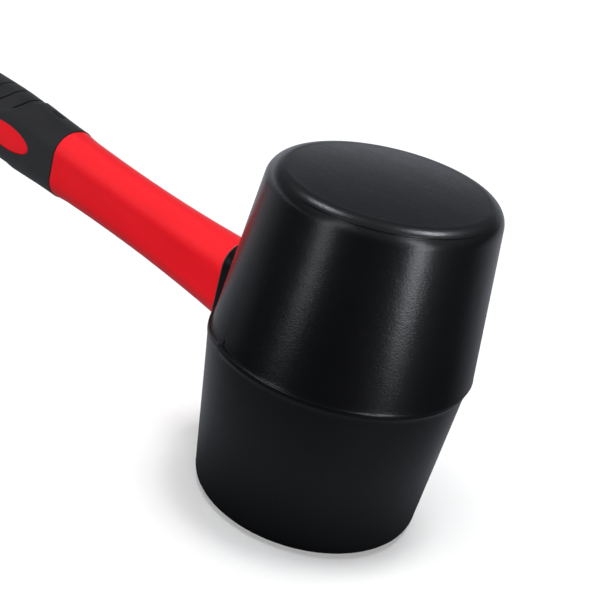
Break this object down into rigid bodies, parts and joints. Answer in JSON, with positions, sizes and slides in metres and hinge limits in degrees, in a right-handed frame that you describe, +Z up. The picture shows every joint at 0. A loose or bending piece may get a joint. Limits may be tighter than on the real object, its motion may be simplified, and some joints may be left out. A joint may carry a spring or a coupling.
{
  "type": "rubber mallet",
  "caption": "Soft-faced mallet with a one-piece tapered rubber head, a raised eye, a red fibreglass-cored handle, a soft ribbed grip with oval windows and a hanging hole.",
  "frame": {"origin": "middle of the lower striking face, which stands on the floor", "axes": "+Z up the head's axis, -X along the handle away from the head, Y across the handle"},
  "size_m": [0.3505, 0.091, 0.119],
  "materials": {
    "head_rubber": "satin black moulded rubber with a fine mottled skin",
    "adhesive": "cured amber epoxy",
    "red_plastic": "satin red moulded polypropylene",
    "glass_fibre": "pultruded glass fibre with long strands",
    "grip_rubber": "matt charcoal thermoplastic rubber"
  },
  "bodies": {
    "root": {"rubber_head": "head_rubber", "socket_adhesive": "adhesive", "handle_shell": "red_plastic", "fibreglass_core": "glass_fibre", "grip_sleeve": "grip_rubber"}
  },
  "joints": []
}
